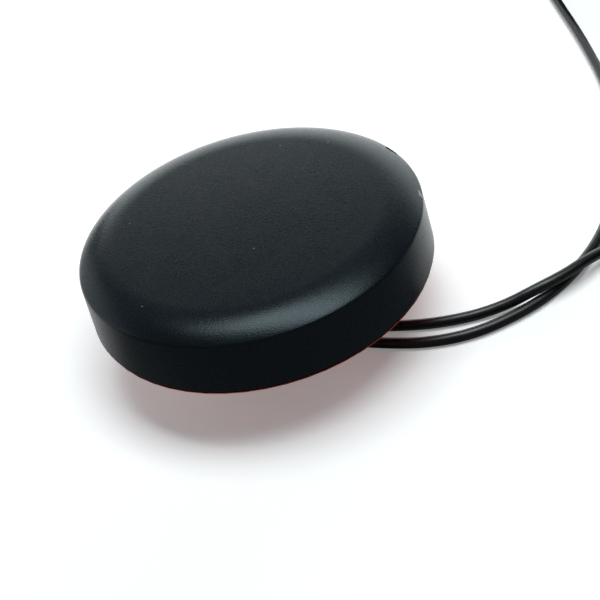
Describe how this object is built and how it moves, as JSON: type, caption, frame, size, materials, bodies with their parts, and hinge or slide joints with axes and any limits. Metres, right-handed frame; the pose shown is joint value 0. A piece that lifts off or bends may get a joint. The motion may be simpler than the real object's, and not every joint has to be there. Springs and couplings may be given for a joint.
{
  "type": "gps antenna",
  "caption": "Low-profile round puck antenna for satellite positioning and cellular service, with a threaded stud, adhesive face and two coaxial cables with screw-on plugs.",
  "frame": {"origin": "on the stud's axis, in the plane of the adhesive face that meets the panel", "axes": "+Z along the stud's axis towards the radome's top, +X towards the side on which both cables leave the stud's slot"},
  "size_m": [0.1589, 0.2395, 0.0317],
  "materials": {
    "housing": "moulded ABS, fine spark-eroded grain, a little worn",
    "base": "moulded plastic, matt",
    "foam": "closed-cell foam, matt",
    "liner": "red film",
    "rubber": "matt",
    "silicone": "matt grey silicone",
    "jacket": "glossy PVC jacket",
    "steel": "zinc plated",
    "brass": "bare sheet",
    "gold": "gold plated",
    "tin": "tin plated",
    "silver": "fired silver, matt",
    "board": "green solder mask",
    "ceramic": "fired ceramic",
    "tape": "acrylic tape",
    "chip": "moulded resin",
    "ptfe": "white, waxy"
  },
  "bodies": {
    "antenna": {"radome_shell": "housing", "base_plate": "base", "perimeter_gasket": "silicone", "adhesive_pad": "foam", "release_liner": "liner", "mounting_nut": "steel", "lock_washer": "steel", "housing_screw_1": "steel", "housing_screw_2": "steel", "housing_screw_3": "steel", "housing_screw_4": "steel", "cable_grommet": "rubber", "main_board": "board", "board_screw_1": "steel", "board_screw_2": "steel", "board_screw_3": "steel", "patch_tape": "tape", "patch_ceramic": "ceramic", "patch_electrode": "silver", "patch_feed_pin": "tin", "shield_can": "tin", "amplifier_chip": "chip", "filter_chip": "tin", "cellular_element": "brass", "gps_cable": "jacket", "gps_cable_coil": "jacket", "gps_cable_tail": "jacket", "gps_plug_body": "gold", "gps_plug_insulator": "ptfe", "gps_plug_pin": "gold", "gps_crimp_ferrule": "gold", "gps_shrink_sleeve": "rubber", "cellular_cable": "jacket", "cellular_cable_coil": "jacket", "cellular_cable_tail": "jacket", "cellular_plug_body": "gold", "cellular_plug_insulator": "ptfe", "cellular_plug_pin": "gold", "cellular_crimp_ferrule": "gold", "cellular_shrink_sleeve": "rubber"},
    "gps_nut": {"gps_coupling_nut": "gold"},
    "cellular_nut": {"cellular_coupling_nut": "gold"}
  },
  "joints": [
    {"name": "gps_nut_spin", "type": "hinge", "parent": "antenna", "child": "gps_nut", "pos_m": [0.09802, 0.00336, -0.0115], "axis": [-0.3907, -0.9205, 0], "continuous": true},
    {"name": "cellular_nut_spin", "type": "hinge", "parent": "antenna", "child": "cellular_nut", "pos_m": [0.05997, 0.15444, -0.0115], "axis": [0.6225, -0.7826, 0], "continuous": true}
  ]
}
